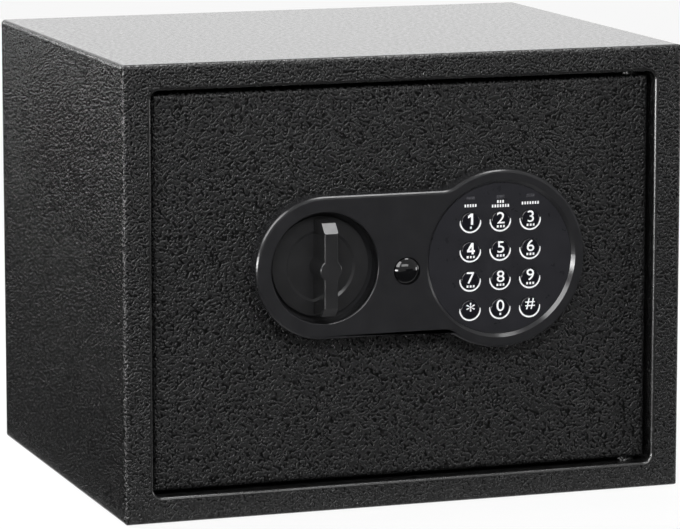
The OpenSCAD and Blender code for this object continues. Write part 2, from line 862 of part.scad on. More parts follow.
module override_nut() {
  color([0.66, 0.66, 0.68]) on_door() translate([over_x, over_y, door_in - nut_t]) difference() {
    hex(nut_w, nut_t);
    translate([0, 0, -1]) cylinder(h = nut_t + 2, r = barrel_r + screw_clear);
  }
}

// The knob and what it drives

module knob() {
  base = floor_t + knob_gap;
  half = grip_len / 2;
  round_r = 1;
  rim_r = 0.5;
  color([0.15, 0.15, 0.16]) on_door() translate([-knob_left, 0]) difference() {
    union() {
      rotate_extrude() difference() {
        union() {
          translate([0, base]) square([knob_r, disc_front - base - rim_r]);
          translate([0, base]) square([knob_r - rim_r, disc_front - base]);
          translate([knob_r - rim_r, disc_front - rim_r]) circle(rim_r);
        }
        polygon([
          [0, disc_front - dish_depth], [dish_r - 2 * dish_depth, disc_front - dish_depth],
          [dish_r, disc_front], [dish_r, disc_front + 1], [0, disc_front + 1]
        ]);
      }
      intersection() {
        translate([-grip_w, 0]) rotate([90, 0, 90]) linear_extrude(2 * grip_w) polygon([
          [-knob_r + 1.6, base + 0.5], [knob_r - 1.6, base + 0.5],
          [half + grip_slope, grip_top - grip_slope], [half, grip_top],
          [-half, grip_top], [-half - grip_slope, grip_top - grip_slope]
        ]);
        translate([0, knob_r, 0]) rotate([90, 0, 0]) linear_extrude(2 * knob_r) {
          translate([-grip_w / 2, base]) square([grip_w, grip_top - round_r - base]);
          translate([-grip_w / 2 + round_r, base]) square([grip_w - 2 * round_r, grip_top - base]);
          for (s = [-1, 1]) translate([s * (grip_w / 2 - round_r), grip_top - round_r]) circle(round_r);
        }
      }
      rotate_extrude() {
        translate([0, base]) square([hub_r, grip_top - round_r - base]);
        translate([0, base]) square([hub_r - round_r, grip_top - base]);
        translate([hub_r - round_r, grip_top - round_r]) circle(round_r);
      }
    }
    rod(0, 0, base - 1, spindle_top, spindle_r + run_clear);
  }
}

module knob_spindle() {
  thread_len = 6.5;
  color([0.62, 0.62, 0.63]) on_door() translate([-knob_left, 0]) {
    rod(0, 0, cam_z, spindle_top, spindle_r);
    plate(cam_back, cam_z + 0.01) square(square_w, center = true);
    rod(0, 0, cam_back - thread_len, cam_back + 0.01, thread_r);
  }
}

module spindle_bush() {
  flange_t = 1;
  color([0.72, 0.6, 0.35]) on_door() translate([-knob_left, 0]) difference() {
    union() {
      rod(0, 0, door_in - 0.6, 0.01, bush_r);
      rod(0, 0, 0, flange_t, bush_flange_r);
    }
    rod(0, 0, door_in - 2, 2, spindle_r + run_clear);
  }
}

// The cam: a hub with a pin, which stands in the carriage's upright slot
module drive_cam() {
  color([0.66, 0.66, 0.68]) on_door() translate([-knob_left, 0]) rotate([0, 0, 45]) {
    plate(cam_back, cam_z) difference() {
      union() {
        circle(cam_hub_r);
        translate([0, -cam_pin_r - 2]) square([cam_throw_r, 2 * cam_pin_r + 4]);
        translate([cam_throw_r, 0]) circle(cam_pin_r + 2);
      }
      rotate([0, 0, -45]) square(square_w + 0.1, center = true);
    }
    rod(cam_throw_r, 0, cam_z - 0.5, carriage_z + 0.3, cam_pin_r);
  }
}

module cam_nut() {
  color([0.6, 0.6, 0.62]) on_door() translate([-knob_left, 0, cam_back - cam_nut_h]) difference() {
    hex(cam_nut_w, cam_nut_h);
    translate([0, 0, -1]) cylinder(h = cam_nut_h + 2, r = thread_r + 0.1);
  }
}

// The bolt carriage: a plate with a bent tab for the bolts and a bent ledge with the plunger's catch
module bolt_carriage() {
  yoke_x = -knob_left + bolt_throw / 2;
  yoke_half = cam_pin_r + yoke_clear;
  yoke_low = bolt_throw / 2 - cam_pin_r - 0.5;
  yoke_high = cam_throw_r + cam_pin_r + 0.5;
  stud_slot_r = stud_r + slot_clear;
  tab_back = bolt_z - bolt_r - 1.9;
  catch_x = plunger_x + bolt_throw - plunger_r - catch_wall_gap;
  catch_low = plunger_x + plunger_r + catch_wall_gap;
  color([0.66, 0.66, 0.68]) on_door() difference() {
    union() {
      plate(carriage_back, carriage_z) {
        translate([tab_x, door_mid - tall_h / 2]) square([tall_w, tall_h]);
        translate([tab_x, carriage_low]) square([carriage_right - tab_x, flange_top - carriage_low]);
      }
      plate(tab_back, carriage_z) translate([tab_x, door_mid - tall_h / 2]) square([carriage_t, tall_h]);
      plate(flange_back, carriage_z) translate([tab_x + tall_w, flange_y])
        square([carriage_right - tab_x - tall_w, carriage_t]);
      plate(flange_back, carriage_back) polygon([
        [catch_low, flange_top - 0.5], [catch_x, flange_top - 0.5],
        [catch_x, flange_top + plunger_travel], [catch_x - 1, flange_top + plunger_travel],
        [catch_low, flange_top]
      ]);
    }
    plate(carriage_back - 1, carriage_z + 1) {
      slot_x(-knob_left, -knob_left + bolt_throw, 0, spindle_r + slot_clear);
      translate([yoke_x - yoke_half, yoke_low]) square([2 * yoke_half, yoke_high - yoke_low]);
      for (p = studs) slot_x(p[0], p[0] + bolt_throw, p[1], stud_slot_r);
    }
    for (s = [-1, 1]) translate([tab_x - 1, door_mid + s * bolt_spread / 2, bolt_z])
      rotate([0, 90, 0]) cylinder(h = carriage_t + 2, r = bolt_screw_r + run_clear);
  }
}

// A locking bolt with a bevelled tip and a threaded hole in its inner end
module locking_bolt(side) {
  tip = 1.2;
  color([0.8, 0.8, 0.82]) on_door()
    translate([bolt_tip, door_mid + side * bolt_spread / 2, bolt_z]) rotate([0, 90, 0]) difference() {
      rotate_extrude() polygon([
        [0, 0], [bolt_r - tip, 0], [bolt_r, tip], [bolt_r, bolt_len], [0, bolt_len]
      ]);
      translate([0, 0, bolt_len - bolt_bore]) cylinder(h = bolt_bore + 1, r = bolt_screw_r + run_clear);
    }
}

module upper_bolt() {
  locking_bolt(1);
}

module lower_bolt() {
  locking_bolt(-1);
}

module bolt_screws() {
  grip = carriage_t + bolt_bore - 2;
  color([0.6, 0.6, 0.62]) on_door() for (s = [-1, 1])
    translate([tab_x + carriage_t, door_mid + s * bolt_spread / 2, bolt_z]) rotate([0, 90, 0]) {
      hex(bolt_head_w, bolt_head_h);
      translate([0, 0, -grip]) cylinder(h = grip + 0.5, r = bolt_screw_r);
    }
}

// Shouldered studs, fixed to the door's plate, in the carriage's level slots
module carriage_studs() {
  play = 0.2;
  color([0.6, 0.6, 0.62]) on_door() for (p = studs) {
    rod(p[0], p[1], carriage_z + play, door_in, stud_cap_r);
    rod(p[0], p[1], carriage_back - play, door_in, stud_r);
    rod(p[0], p[1], carriage_back - play - stud_cap_t, carriage_back - play, stud_cap_r);
  }
}

// The solenoid

module solenoid_frame() {
  half = coil_r + 3;
  back = plunger_z - coil_r - 1;
  color([0.66, 0.66, 0.68]) on_door() difference() {
    union() {
      translate([plunger_x - half, frame_y, door_in - frame_t])
        cube([2 * half, coil_len + 2 * frame_t, frame_t]);
      for (y = [frame_y, frame_y + frame_t + coil_len]) translate([plunger_x - half, y, back])
        cube([2 * half, frame_t, door_in - back]);
    }
    translate([plunger_x, frame_y - 1, plunger_z]) rotate([-90, 0, 0])
      cylinder(h = frame_t + 2, r = plunger_r + run_clear);
  }
}

module solenoid_coil() {
  color([0.1, 0.1, 0.11]) on_door() translate([plunger_x, frame_y + frame_t, plunger_z])
    rotate([-90, 0, 0]) difference() {
      union() {
        cylinder(h = coil_len, r = coil_r - 1);
        cylinder(h = 1.5, r = coil_r);
        translate([0, 0, coil_len - 1.5]) cylinder(h = 1.5, r = coil_r);
      }
      translate([0, 0, -1]) cylinder(h = coil_len + 2, r = plunger_r + 0.3);
    }
}

module solenoid_plunger() {
  color([0.8, 0.8, 0.82]) on_door() translate([plunger_x, 0, plunger_z]) {
    translate([0, plunger_tip, 0]) rotate([-90, 0, 0])
      cylinder(h = frame_y + frame_t + coil_len * 0.7 - plunger_tip, r = plunger_r);
    translate([0, collar_y, 0]) rotate([-90, 0, 0]) cylinder(h = collar_t, r = collar_r);
  }
}

// The rings of a coiled wire: eight to a turn, each with six points
function coil_points(mid_r, wire_r, turns, length) = [
  for (i = [0:8 * turns], k = [0:5])
    let (a = 45 * i, b = 60 * k, reach = mid_r + wire_r * cos(b))
    [reach * cos(a), reach * sin(a), length * i / (8 * turns) + wire_r * sin(b)]
];
function coil_faces(turns) = concat(
  [[0, 1, 2], [0, 2, 3], [0, 3, 4], [0, 4, 5]],
  [for (k = [1:4]) [48 * turns, 48 * turns + k + 1, 48 * turns + k]],
  [for (i = [0:8 * turns - 1], k = [0:5], half = [0, 1])
    let (a = 6 * i + k, b = 6 * i + (k + 1) % 6)
    half == 0 ? [a, a + 6, b] : [b, a + 6, b + 6]]
);

module plunger_spring() {
  length = spring_len - 2 * spring_wire_r - 0.1;
  color([0.7, 0.7, 0.72]) on_door()
    translate([plunger_x, collar_y + collar_t + spring_wire_r + 0.05, plunger_z]) rotate([-90, 0, 0])
      polyhedron(
        points = coil_points(plunger_r + 1.2, spring_wire_r, spring_turns, length),
        faces = coil_faces(spring_turns), convexity = 10
      );
}

module solenoid_leads() {
  z = plunger_z - 4;
  start_y = frame_y + frame_t + coil_len / 2;
  socket_x = board_right - 14;
  color([0.6, 0.12, 0.1]) on_door() lead([
    [plunger_x + coil_r - 0.5, start_y, z], [plunger_x + coil_r + 8, start_y, z],
    [12, frame_y, z], [15, 14, wire_z], [socket_x, socket_y + 12, wire_z],
    [socket_x, socket_y, wire_z]
  ], lead_r);
}

// The electronics

// The control board, with its sockets, its chip and the reset switch
module control_board() {
  top = control_z - control_t;
  socket_h = 5.6;
  chip_w = 14;
  color([0.1, 0.3, 0.16]) on_door() difference() {
    union() {
      plate(top, control_z) translate([board_right, board_y]) square([board_w, board_h], center = true);
      plate(top - socket_h, top + 0.01) {
        translate([board_right - 5, socket_y - 5]) square([10, 5]);
        translate([board_right - 18, socket_y - 5]) square([8, 5]);
        translate([board_right + 12, socket_y - 5]) square([8, 5]);
      }
      plate(top - 1.8, top + 0.01) translate([board_right, board_y - 6])
        square(chip_w, center = true);
      plate(switch_z, top + 0.01) translate([reset_x, reset_y]) square([6, 6], center = true);
    }
    board_corners() translate([0, 0, top - 1]) cylinder(h = control_t + 2, r = screw_r + screw_clear);
  }
}

module board_corners() {
  for (x = [-1, 1], y = [-1, 1])
    translate([board_right + x * (board_w / 2 - spacer_in), board_y + y * (board_h / 2 - spacer_in)])
      children();
}

module board_spacers() {
  color([0.8, 0.8, 0.82]) on_door() board_corners() difference() {
    rod(0, 0, control_z, door_in, spacer_r);
    rod(0, 0, control_z - 1, control_z + 7, screw_r + 0.05);
  }
}

module board_screws() {
  color([0.6, 0.6, 0.62]) on_door() board_corners()
    translate([0, 0, control_z - control_t])
      pan_screw(screw_r, control_t + screw_bite + 1, small_head_r, small_head_h);
}

module battery_leads() {
  tray_edge = tray_right - tray_w / 2;
  socket_x = board_right + 16;
  color([0.6, 0.12, 0.1]) on_door() lead([
    [tray_edge, tray_y + 24, tray_floor - 4], [tray_edge - 4, tray_y + 24, tray_floor - 4],
    [socket_x, socket_y + 8, wire_z], [socket_x, socket_y, wire_z]
  ], lead_r);
}

// The battery tray: a moulded box with a flange on the back of the cover
module battery_tray() {
  color([0.12, 0.12, 0.13]) on_door() translate([tray_right, tray_y]) difference() {
    union() {
      plate(cover_back, tray_floor + tray_wall) rounded_rect(tray_w, tray_h, 1.5);
      plate(cover_back - tray_flange_t, cover_back)
        rounded_rect(tray_w + 2 * tray_flange, tray_h + 2 * tray_flange, 3);
    }
    plate(cover_back - tray_flange_t - 1, tray_floor) square([tray_hollow_w, tray_hollow_h], center = true);
  }
}

module battery_cells() {
  nub = 1;
  color([0.25, 0.27, 0.3]) on_door() for (i = [0:3])
    translate([tray_right, tray_y + (i - 1.5) * cell_pitch, tray_floor - cell_r - 0.1])
      rotate([0, i % 2 == 0 ? 90 : -90, 0]) translate([0, 0, -cell_len / 2]) {
        cylinder(h = cell_len - nub, r = cell_r);
        translate([0, 0, cell_len - nub - 0.01]) cylinder(h = nub + 0.01, r = 2.7);
      }
}

// The battery tray's lid, with a thumb catch
module battery_cover() {
  z = cover_back - tray_flange_t;
  w = tray_w + 1.4 * tray_flange;
  h = tray_h + 1.4 * tray_flange;
  lid_t = 1.6;
  rib_rise = 1.4;
  rib_pitch = 2.4;
  color([0.12, 0.12, 0.13]) on_door() translate([tray_right, tray_y]) {
    plate(z - lid_t, z) rounded_rect(w, h, 3);
    plate(z - lid_t - rib_rise, z - lid_t + 0.1) for (i = [0:4])
      translate([0, h / 2 - 5 - rib_pitch * i]) square([18, 1], center = true);
  }
}

module reset_button() {
  top = switch_z - reset_travel - 0.4;
  color([0.75, 0.1, 0.08]) on_door() translate([reset_x, reset_y]) {
    rod(0, 0, cover_back - 1.8, top, reset_r);
    rod(0, 0, door_rear + 0.2, door_rear + 1.7, reset_r + 2);
  }
}

module key_1() { key(0); }
module key_2() { key(1); }
module key_3() { key(2); }
module key_4() { key(3); }
module key_5() { key(4); }
module key_6() { key(5); }
module key_7() { key(6); }
module key_8() { key(7); }
module key_9() { key(8); }
module key_star() { key(9); }
module key_0() { key(10); }
module key_hash() { key(11); }

case_wrap();
back_panel();
door_frame();
upper_hinge_bracket();
lower_hinge_bracket();
floor_mat();
door_panel();
upper_hinge_pin();
lower_hinge_pin();
door_back_cover();
cover_screws();
lock_faceplate();
faceplate_screws();
keypad_panel();
status_windows();
keypad_board();
key_mat();
keypad_cable();
key_1();
key_2();
key_3();
key_4();
key_5();
key_6();
key_7();
key_8();
key_9();
key_star();
key_0();
key_hash();
override_cap();
override_barrel();
override_plug();
override_cam();
override_cam_screw();
override_nut();
knob();
knob_spindle();
spindle_bush();
drive_cam();
cam_nut();
bolt_carriage();
upper_bolt();
lower_bolt();
bolt_screws();
carriage_studs();
solenoid_frame();
solenoid_coil();
solenoid_plunger();
plunger_spring();
solenoid_leads();
control_board();
board_spacers();
board_screws();
battery_leads();
battery_tray();
battery_cells();
battery_cover();
reset_button();
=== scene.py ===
"""The looks of a small electronic safe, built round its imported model. Metres, +Z up, -Y the front."""

import json
import math

import bmesh
import bpy
from mathutils import Euler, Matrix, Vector


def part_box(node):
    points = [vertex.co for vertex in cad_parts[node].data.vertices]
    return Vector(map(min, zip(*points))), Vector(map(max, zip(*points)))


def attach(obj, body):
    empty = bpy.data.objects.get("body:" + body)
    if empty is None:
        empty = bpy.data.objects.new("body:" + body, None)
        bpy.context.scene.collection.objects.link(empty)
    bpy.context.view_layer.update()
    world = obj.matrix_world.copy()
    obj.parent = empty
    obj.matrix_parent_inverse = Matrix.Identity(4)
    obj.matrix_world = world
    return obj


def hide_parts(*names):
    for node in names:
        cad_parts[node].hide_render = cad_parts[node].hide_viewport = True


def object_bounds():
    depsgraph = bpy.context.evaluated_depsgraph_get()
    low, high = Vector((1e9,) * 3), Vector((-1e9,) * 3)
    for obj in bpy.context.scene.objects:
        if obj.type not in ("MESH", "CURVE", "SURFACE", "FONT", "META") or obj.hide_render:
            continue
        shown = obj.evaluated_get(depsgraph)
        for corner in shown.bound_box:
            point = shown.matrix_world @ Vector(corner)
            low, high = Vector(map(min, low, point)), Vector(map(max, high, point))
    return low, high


MM = 0.001

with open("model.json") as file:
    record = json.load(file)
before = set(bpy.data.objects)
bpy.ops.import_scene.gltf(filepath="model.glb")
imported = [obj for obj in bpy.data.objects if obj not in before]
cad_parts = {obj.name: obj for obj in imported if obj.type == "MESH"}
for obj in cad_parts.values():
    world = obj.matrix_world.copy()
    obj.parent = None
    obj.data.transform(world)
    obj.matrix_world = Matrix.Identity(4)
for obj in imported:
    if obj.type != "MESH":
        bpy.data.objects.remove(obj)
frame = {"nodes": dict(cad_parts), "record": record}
cad_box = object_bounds()
node = frame["nodes"]
slot_of = {part["node"]: part["material_slot"] for part in frame["record"]["subparts"]}


# Materials. Sizes of grain and depths of bump are in millimetres

finish = {}


class Finish:
    """A material being built, and kept in finish by its name: its shader and the nodes round it."""

    NOISE_MIDDLE = (0.3, 0.7)
    PATCH_DETAIL = 3.0

    def __init__(self, name, colour, roughness, ior=1.45, metallic=0.0):
        self.material = bpy.data.materials.new(name)
        finish[name] = self.material
        self.material.use_nodes = True
        self.tree = self.material.node_tree
        self.shader = self.tree.nodes["Principled BSDF"]
        self.colour = colour
        self.roughness = roughness
        self.set("Base Color", (*colour, 1.0))
        self.set("Roughness", roughness)
        self.set("IOR", ior)
        self.set("Metallic", metallic)
        self.place = self.add("ShaderNodeTexCoord").outputs["Object"]

    def set(self, socket, value):
        """A number or colour of the shader that is the same all over."""
        self.shader.inputs[socket].default_value = value

    def link(self, output, socket):
        """A number or colour of the shader that a node gives."""
        self.tree.links.new(output, self.shader.inputs[socket])

    def feed(self, socket, value):
        """A node's input: another node's output, or a plain value."""
        if isinstance(value, bpy.types.NodeSocket):
            self.tree.links.new(value, socket)
        else:
            socket.default_value = value

    def add(self, kind, **inputs):
        """A new node, with its inputs by name and _ for a space."""
        made = self.tree.nodes.new(kind)
        for name, value in inputs.items():
            self.feed(made.inputs[name.replace("_", " ")], value)
        return made

    def math(self, operation, a, b):
        made = self.tree.nodes.new("ShaderNodeMath")
        made.operation = operation
        self.feed(made.inputs[0], a)
        self.feed(made.inputs[1], b)
        return made.outputs[0]

    def noise(self, size, detail=2.0, roughness=0.5, place=None):
        """A noise whose features are about that many millimetres across."""
        made = self.add(
            "ShaderNodeTexNoise", Vector=place or self.place, Scale=1 / (size * MM), Detail=detail,
            Roughness=roughness,
        )
        return made.outputs["Fac"]

    def spread(self, value, low, high, out_low=0.0, out_high=1.0, kind="LINEAR"):
        """The value moved from one range to another, and held inside it."""
        made = self.add(
            "ShaderNodeMapRange", Value=value, From_Min=low, From_Max=high, To_Min=out_low, To_Max=out_high
        )
        made.interpolation_type = kind
        return made.outputs["Result"]

    def patches(self, size, low=0.0, high=1.0):
        """A soft noise, its middle stretched between two values."""
        return self.spread(self.noise(size, self.PATCH_DETAIL), *self.NOISE_MIDDLE, low, high)

    def facing_up(self, low, high, out_low, out_high):
        """A value that goes from one number to another as the surface turns level."""
        normal = self.tree.nodes.new("ShaderNodeNewGeometry").outputs["Normal"]
        up = self.add("ShaderNodeSeparateXYZ", Vector=normal).outputs["Z"]
        return self.spread(up, low, high, out_low, out_high)

    def bump(self, height, depth, under=None, strength=1.0):
        """Bump from a height between 0 and 1, that many millimetres deep, on top of another bump."""
        made = self.add("ShaderNodeBump", Height=height, Distance=depth * MM, Strength=strength)
        if under:
            self.tree.links.new(under, made.inputs["Normal"])
        self.link(made.outputs["Normal"], "Normal")
        return made.outputs["Normal"]

    def tint(self, factor, dark, light):
        """The colour, between two shares of it as the factor goes from 0 to 1."""
        mix = self.tree.nodes.new("ShaderNodeMix")
        mix.data_type = "RGBA"
        mix.inputs["A"].default_value = (*(c * dark for c in self.colour), 1.0)
        mix.inputs["B"].default_value = (*(min(c * light, 1.0) for c in self.colour), 1.0)
        self.tree.links.new(factor, mix.inputs["Factor"])
        self.link(mix.outputs["Result"], "Base Color")

    def mottle(self, size, dark, light):
        """The colour, uneven in patches between two shares of it."""
        self.tint(self.patches(size), dark, light)

    def uneven(self, size, swing):
        """The roughness, uneven in patches by that much either way."""
        self.link(self.patches(size, self.roughness - swing, self.roughness + swing), "Roughness")


RIDGE_SIZE = 1.35
RIDGE_FOOT = 0.33
RIDGE_TOP = 0.66
FINE_SIZE = 0.6
FINE_SHARE = 0.2
COAT_DEPTH = 0.47
THIN_COAT_DEPTH = 0.08
LEVEL_FROM = 0.6
LEVEL_TO = 0.95
LEVEL_SHARE = 0.08


def powder_coat(name, depth=COAT_DEPTH):
    """Black wrinkle powder coat: short ridges like a leather grain, which level faces hardly show, with
    painted shade in the ridges' hollows and a painted highlight on their tops.
    """
    look = Finish(name, (0.0085, 0.0085, 0.0086), roughness=0.23, ior=1.3)
    ridges = look.spread(look.noise(RIDGE_SIZE, detail=0.8), RIDGE_FOOT, RIDGE_TOP, kind="SMOOTHSTEP")
    coarse = look.math("MULTIPLY", ridges, 1 - FINE_SHARE)
    fine = look.math("MULTIPLY", look.noise(FINE_SIZE, detail=1.0), FINE_SHARE)
    height = look.math("ADD", coarse, fine)
    look.bump(height, depth, strength=look.facing_up(LEVEL_FROM, LEVEL_TO, 1.0, LEVEL_SHARE))
    # painted shade and highlight: the colour is darker in the ridges' hollows and lighter on their tops
    look.tint(height, dark=0.1, light=1.9)
    look.uneven(size=2.5, swing=0.04)


def plastic(name, colour, roughness, grain=0.5, depth=0.006, ior=1.25):
    """Moulded plastic with a fine spark-eroded texture."""
    look = Finish(name, colour, roughness, ior)
    look.bump(look.noise(grain, detail=3.0), depth)
    look.mottle(size=12.0, dark=0.9, light=1.12)
    look.uneven(size=6.0, swing=0.03)


def gloss_plastic(name, colour):
    """Polished plastic, its face hardly uneven."""
    look = Finish(name, colour, roughness=0.07, ior=1.3)
    look.bump(look.noise(5.0, detail=1.0), depth=0.012)
    look.uneven(size=3.0, swing=0.02)


LINE_STRETCH = 14.0
ALONG_X = (LINE_STRETCH, 1.0, 1.0)
ALONG_Y = (1.0, LINE_STRETCH, 1.0)
ALONG_Z = (1.0, 1.0, LINE_STRETCH)


def brushed_metal(name, colour, roughness, lines):
    """Drawn or turned metal: fine lines along one axis."""
    look = Finish(name, colour, roughness, metallic=1.0)
    scaled = look.add("ShaderNodeMapping", Vector=look.place, Scale=tuple(1 / s for s in lines))
    look.bump(look.noise(0.5, place=scaled.outputs["Vector"]), depth=0.008)
    look.mottle(size=9.0, dark=0.82, light=1.1)
    look.uneven(size=3.0, swing=0.07)


def zinc(name):
    """Zinc-plated pressed steel with its soft spangle."""
    look = Finish(name, (0.56, 0.56, 0.55), roughness=0.34, metallic=1.0)
    look.bump(look.noise(1.2, detail=3.0), depth=0.012)
    look.mottle(size=4.0, dark=0.75, light=1.15)
    look.uneven(size=2.0, swing=0.1)


def felt(name):
    """Needled felt: soft lumps under short fibres, with a little sheen."""
    look = Finish(name, (0.045, 0.045, 0.048), roughness=0.95)
    look.set("Sheen Weight", 0.35)
    look.set("Sheen Roughness", 0.5)
    lumps = look.bump(look.noise(3.0, detail=4.0), depth=0.25)
    look.bump(look.noise(0.35, detail=3.0, roughness=0.7), depth=0.35, under=lumps)
    look.mottle(size=1.2, dark=0.6, light=1.5)


TRACK_PITCH = 9


def circuit_board(name):
    """Green solder mask, lighter over the copper tracks."""
    look = Finish(name, (0.012, 0.075, 0.03), roughness=0.3, ior=1.5)
    upright = look.add("ShaderNodeMapping", Vector=look.place, Rotation=(math.radians(90), 0, 0))
    tracks = look.add(
        "ShaderNodeTexBrick", Vector=upright.outputs["Vector"], Scale=1 / (TRACK_PITCH * MM),
        Color1=(0.010, 0.060, 0.024, 1), Color2=(0.014, 0.085, 0.034, 1), Mortar=(0.03, 0.16, 0.06, 1),
        Mortar_Size=0.03,
    )
    look.link(tracks.outputs["Color"], "Base Color")
    look.bump(look.noise(0.8), depth=0.01)


BAND_SHARE = 0.3


def cell_wrap(name):
    """Printed sleeve of a battery cell: a dark body and a copper band at one end."""
    look = Finish(name, (0.02, 0.02, 0.022), roughness=0.28, ior=1.5)
    low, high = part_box("battery_cells")
    across = look.add("ShaderNodeSeparateXYZ", Vector=look.place).outputs["X"]
    ramp = look.add("ShaderNodeValToRGB", Fac=look.spread(across, low.x, high.x))
    ramp.color_ramp.interpolation = "CONSTANT"
    band, body = ramp.color_ramp.elements
    band.color = (0.42, 0.17, 0.06, 1)
    body.color = (*look.colour, 1)
    body.position = BAND_SHARE
    look.link(ramp.outputs["Color"], "Base Color")
    look.bump(look.noise(2.0), depth=0.01)


def white_print(name):
    """Pad-printed white ink, a little thin in places."""
    look = Finish(name, (0.83, 0.83, 0.84), roughness=0.5)
    look.mottle(size=0.8, dark=0.9, light=1.06)
    look.bump(look.noise(0.25), depth=0.004)


def smoked_window(name):
    """Smoked window of a status lamp, with the lamp's lens behind it."""
    look = Finish(name, (0.045, 0.045, 0.05), roughness=0.22, ior=1.4)
    look.mottle(size=1.1, dark=0.55, light=1.7)
    look.bump(look.noise(0.6, detail=1.0), depth=0.01)


powder_coat("case_paint")
powder_coat("door_paint")
powder_coat("cover_paint", depth=THIN_COAT_DEPTH)
brushed_metal("raw_steel", (0.14, 0.14, 0.145), roughness=0.42, lines=ALONG_Z)
brushed_metal("bright_steel", (0.62, 0.62, 0.63), roughness=0.24, lines=ALONG_X)
brushed_metal("screw_steel", (0.5, 0.5, 0.51), roughness=0.3, lines=ALONG_Y)
brushed_metal("brass", (0.68, 0.47, 0.2), roughness=0.28, lines=ALONG_Y)
zinc("zinc_plate")
# a lit copy of the black coat for the opening's edge round: lighter and shinier than the coat round it, a
# painted highlight along the edge
plastic("lit_edge_paint", (0.012, 0.012, 0.012), roughness=0.26, grain=1.5, depth=0.03, ior=1.47)
plastic("faceplate_plastic", (0.0165, 0.0165, 0.0178), roughness=0.2, ior=1.32)
plastic("knob_plastic", (0.018, 0.018, 0.0187), roughness=0.22, ior=1.32)
plastic("keypad_plastic", (0.017, 0.017, 0.02), roughness=0.3, grain=0.35, depth=0.003, ior=1.3)
plastic("key_plastic", (0.0085, 0.0085, 0.0115), roughness=0.16, grain=0.35, depth=0.002, ior=1.38)
plastic("black_plastic", (0.012, 0.012, 0.012), roughness=0.45, grain=0.6, depth=0.02)
plastic("red_plastic", (0.42, 0.012, 0.008), roughness=0.3, grain=1.2)
plastic("mat_rubber", (0.2, 0.2, 0.21), roughness=0.6, grain=0.8, depth=0.02)
plastic("lead_sheath", (0.05, 0.012, 0.01), roughness=0.4, grain=0.8, depth=0.01)
gloss_plastic("cap_plastic", (0.0045, 0.0045, 0.005))
smoked_window("window_plastic")
circuit_board("circuit_board")
cell_wrap("cell_wrap")
felt("felt")
white_print("white_print")

for name, obj in node.items():
    obj.data.materials.clear()
    obj.data.materials.append(finish[slot_of[name]])


# Small edge rounds that catch the light, on solids whose edges are cut sharp

SHARP_NODES = ("knob_spindle", "bolt_carriage", "battery_cover", "reset_button", "door_back_cover")
SOFT_EDGE = 0.25 * MM
SHARP_ANGLE = 40


def soften(name):
    bevel = node[name].modifiers.new("soft_edges", "BEVEL")
    bevel.width = SOFT_EDGE
    bevel.segments = 2
    bevel.limit_method = "ANGLE"
    bevel.angle_limit = math.radians(SHARP_ANGLE)
    bevel.harden_normals = False


for name in SHARP_NODES:
    soften(name)


# New pieces and flat shapes


def mesh_piece(name, mesh_data, material, body):
    """A new piece of the safe, which rides on a body."""
    made = bpy.data.objects.new(name, mesh_data)
    bpy.context.scene.collection.objects.link(made)
    made.data.materials.append(material)
    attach(made, body)
    return made


def front_of(name):
    """The middle of a node's front face."""
    low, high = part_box(name)
    return Vector(((low.x + high.x) / 2, low.y, (low.z + high.z) / 2))


def flat_mesh(polygons, unit=MM):
    """A flat mesh of filled polygons, each a list of (x, y) in that unit."""
    made = bpy.data.meshes.new("flat")
    points, faces = [], []
    for polygon in polygons:
        faces.append(list(range(len(points), len(points) + len(polygon))))
        points += [(x * unit, y * unit, 0) for x, y in polygon]
    made.from_pydata(points, [], faces)
    return made


def block(left, right, low, high):
    """An upright rectangle between its sides."""
    return [(left, low), (right, low), (right, high), (left, high)]


def bar(x, y, w, h):
    """An upright rectangle round (x, y)."""
    return block(x - w / 2, x + w / 2, y - h / 2, y + h / 2)


def row_of_bars(count, pitch, y, w, h):
    """Bars side by side, with their middle at x = 0."""
    return [bar(pitch * (k - (count - 1) / 2), y, w, h) for k in range(count)]


# The keypad's prints, drawn in millimetres

DIGIT_HEIGHT = 6.8
DIGIT_RISE = 1.5
DIGIT_BOLD = 0.004
DIGIT_STRETCH = 1.14
SIGN_SHARES = {"*": 0.78, "#": 0.96}
SIGNS = {
    "1": "1", "2": "2", "3": "3", "4": "4", "5": "5", "6": "6",
    "7": "7", "8": "8", "9": "9", "star": "*", "0": "0", "hash": "#",
}

PIP_COUNT = 3
PIP_COUNTS = {"1": 1, "0": 1, "star": 0, "hash": 0}
PIP_DROP = 3.6
PIP_PITCH = 1.95
PIP_WIDTH = 1.15
PIP_HEIGHT = 1.4

ARC_MID_R = 6.45
ARC_WIDTH = 0.95
ARC_SWEEP = 192
ARC_STEPS = 48
ARC_END_SHARE = 0.45
ARC_TAPER = 5

STATUS_DROP = 4.6
STATUS_PITCH = 1.65
STATUS_WIDTH = 0.95
STATUS_HEIGHT = 1.7
# Over each key of the top row, rows of bars: how far up a row lies, and how many bars it has
STATUS_ROWS = {"1": [(0, 5)], "2": [(1.6, 3), (-0.9, 7)], "3": [(0, 7)]}

# The keys' faces and the ink on them, in metres
KEY_FLANGE = 0.9 * MM
KEY_ROUND = 0.6 * MM
KEY_CROWN = 0.35 * MM
PRINT_RISE = 0.03 * MM
PRINT_STEP = 0.5 * MM
SAME_POINT = 1e-6


def one_mesh(height):
    """A bold 1, drawn in shares of its height: its stem and its flag."""
    stem = block(-0.01, 0.2, -0.5, 0.5)
    flag = [(-0.27, 0.28), (-0.27, 0.09), (-0.01, 0.21), (-0.01, 0.5)]
    return flat_mesh([stem, flag], height)


def four_mesh(height):
    """A bold 4 with an open counter, drawn in shares of its height: its stem, its bar and its slope."""
    left, stem_left, stem_right, right = -0.36, 0.06, 0.26, 0.37
    low, high = -0.31, -0.14
    stem = block(stem_left, stem_right, -0.5, 0.5)
    near = block(left, stem_left, low, high)
    far = block(stem_right, right, low, high)
    slope = [(left, high), (left + 0.21, high), (stem_left, 0.16), (stem_left, 0.5)]
    return flat_mesh([stem, near, far, slope], height)


